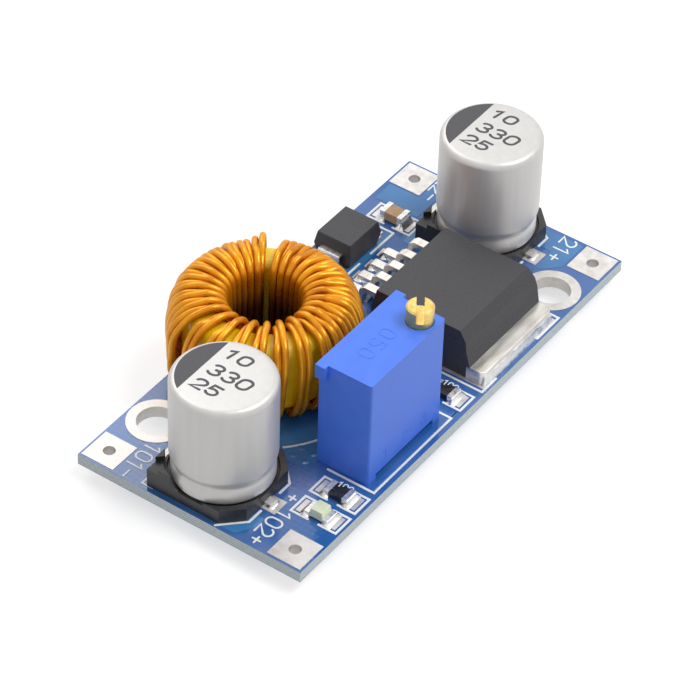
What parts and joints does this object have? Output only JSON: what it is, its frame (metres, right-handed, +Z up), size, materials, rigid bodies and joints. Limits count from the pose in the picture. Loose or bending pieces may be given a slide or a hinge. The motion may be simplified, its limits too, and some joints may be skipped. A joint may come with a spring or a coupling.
{
  "type": "buck converter module",
  "caption": "Step-down power converter board with trimmer, toroidal inductor, regulator and two can capacitors.",
  "frame": {"origin": "centre of the two-hole mounting pattern, on the underside of the circuit board's bottom mask", "axes": "+Z up through the board to the parts' side; +X along the board's length to the input end; +Y across the board to the long edge that the toroidal inductor overhangs"},
  "size_m": [0.0441, 0.0229, 0.0136],
  "materials": {
    "laminate": "glass-epoxy laminate, pale sawn edge",
    "solder_mask": "glossy blue solder mask",
    "plated_copper": "tinned copper",
    "solder": "bright tin solder",
    "can_aluminium": "satin drawn aluminium with printed top",
    "black_resin": "fine-grained moulded resin",
    "lead_metal": "matte tin plate",
    "powder_core": "yellow epoxy paint over iron powder",
    "enamelled_wire": "clear amber enamel over copper",
    "trimmer_blue": "moulded, faint texture",
    "base_resin": "cast potting resin",
    "screw_brass": "turned brass",
    "seal_rubber": "moulded ring",
    "carriage_nylon": "moulded natural nylon",
    "wiper_bronze": "sprung bronze",
    "alumina": "fired alumina",
    "track_cermet": "fired cermet film",
    "ceramic_tan": "fired dielectric",
    "resistor_black": "glazed resistor top",
    "chip_metal": "tinned chip ends",
    "led_white": "white laminate base",
    "legend_ink": "screen-printed white ink",
    "can_ink": "dark ink printed on the cans' tops",
    "led_lens": "cast clear resin with a pale tint"
  },
  "bodies": {
    "board": {"board_laminate": "laminate", "solder_mask_top": "solder_mask", "solder_mask_bottom": "solder_mask", "output_minus_terminal": "plated_copper", "output_plus_terminal": "plated_copper", "input_minus_terminal": "plated_copper", "input_plus_terminal": "plated_copper", "output_mounting_ring": "plated_copper", "input_mounting_ring": "plated_copper", "component_lands": "plated_copper", "pin_barrels": "plated_copper", "output_capacitor_can": "can_aluminium", "output_capacitor_base": "black_resin", "output_capacitor_leads": "lead_metal", "input_capacitor_can": "can_aluminium", "input_capacitor_base": "black_resin", "input_capacitor_leads": "lead_metal", "inductor_core": "powder_core", "inductor_wire_a": "enamelled_wire", "inductor_wire_b": "enamelled_wire", "inductor_solder": "solder", "trimmer_housing": "trimmer_blue", "trimmer_base_seal": "base_resin", "trimmer_screw_seal": "seal_rubber", "trimmer_element": "alumina", "trimmer_track": "track_cermet", "trimmer_pins": "lead_metal", "trimmer_solder": "solder", "regulator_body": "black_resin", "regulator_tab": "lead_metal", "regulator_leads": "lead_metal", "regulator_solder": "solder", "diode_body": "black_resin", "diode_terminals": "lead_metal", "diode_solder": "solder", "ceramic_capacitor_body": "ceramic_tan", "ceramic_capacitor_ends": "chip_metal", "indicator_led_base": "led_white", "indicator_led_lens": "led_lens", "indicator_led_ends": "chip_metal", "led_resistor_body": "resistor_black", "led_resistor_ends": "chip_metal", "feedback_resistor_body": "resistor_black", "feedback_resistor_ends": "chip_metal", "chip_solder": "solder"},
    "screw": {"trimmer_screw": "screw_brass"},
    "carriage": {"trimmer_carriage": "carriage_nylon", "trimmer_wiper": "wiper_bronze"}
  },
  "joints": [
    {"name": "screw_turn", "type": "hinge", "parent": "board", "child": "screw", "pos_m": [-0.00325, -0.00763, 0], "axis": [0, 0, 1], "range_deg": [-4500, 4500]},
    {"name": "carriage_slide", "type": "slide", "parent": "board", "child": "carriage", "axis": [0, 0, 1], "range_m": [-0.0029, 0.0029]}
  ],
  "couplings": [
    {"joint": "screw_turn", "follows": "carriage_slide", "rad_per_m": -27080}
  ]
}
